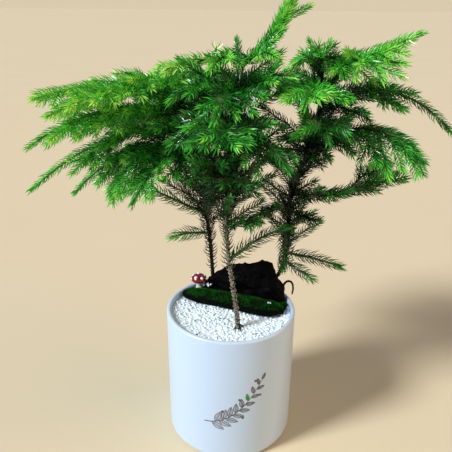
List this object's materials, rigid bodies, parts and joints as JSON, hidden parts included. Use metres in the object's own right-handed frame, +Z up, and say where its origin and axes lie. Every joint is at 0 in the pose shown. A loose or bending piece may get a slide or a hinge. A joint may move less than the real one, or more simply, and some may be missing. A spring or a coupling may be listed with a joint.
{
  "type": "potted norfolk island pine",
  "caption": "Young conifer clump on thin leaning stems with arching needled boughs, in a white glazed cylinder pot dressed with gravel, moss, a dark stone and a toadstool ornament.",
  "frame": {"origin": "middle of the pot's flat underside, on the surface that the pot stands on", "axes": "+Z up along the pot's axis, -Y towards the viewer of the picture, +X to the viewer's right"},
  "size_m": [0.3979, 0.2448, 0.4293],
  "materials": {
    "glazed_ceramic": "glossy white glaze",
    "potting_mix": "matte, crumbly",
    "white_gravel": "matte, grainy",
    "moss": "velvety",
    "dark_stone": "rough",
    "red_enamel": "glossy, with white dots",
    "pale_resin": "satin",
    "bark": "rough, scarred",
    "dark_bark": "rough, scarred",
    "needles": "satin green needles"
  },
  "bodies": {
    "root": {"gravel": "white_gravel", "moss_bank": "moss", "needles_front_1a": "needles", "needles_front_2a": "needles", "needles_front_3a": "needles", "needles_front_3b": "needles", "needles_front_3c": "needles", "needles_front_4a": "needles", "needles_front_4b": "needles", "needles_front_4c": "needles", "needles_front_4d": "needles", "needles_front_5a": "needles", "needles_front_5b": "needles", "needles_front_5c": "needles", "needles_front_5d": "needles", "needles_front_6a": "needles", "needles_front_6b": "needles", "needles_front_leader": "needles", "needles_left_1a": "needles", "needles_left_2a": "needles", "needles_left_3a": "needles", "needles_left_3b": "needles", "needles_left_3c": "needles", "needles_left_4a": "needles", "needles_left_4b": "needles", "needles_left_4c": "needles", "needles_left_5a": "needles", "needles_left_5b": "needles", "needles_left_5c": "needles", "needles_left_6a": "needles", "needles_left_leader": "needles", "needles_right_1a": "needles", "needles_right_2a": "needles", "needles_right_3a": "needles", "needles_right_4a": "needles", "needles_right_4b": "needles", "needles_right_5a": "needles", "needles_right_5b": "needles", "needles_right_6a": "needles", "needles_right_6b": "needles", "needles_right_6c": "needles", "needles_right_7a": "needles", "needles_right_7b": "needles", "needles_right_7c": "needles", "needles_right_7d": "needles", "needles_right_8a": "needles", "needles_right_8b": "needles", "needles_right_8c": "needles", "needles_right_leader": "needles", "pot": "glazed_ceramic", "potting_mix": "potting_mix", "stem_front": "bark", "stem_left": "dark_bark", "stem_right": "dark_bark", "stone": "dark_stone", "toadstool_cap": "red_enamel", "toadstool_stalk": "pale_resin"}
  },
  "joints": []
}
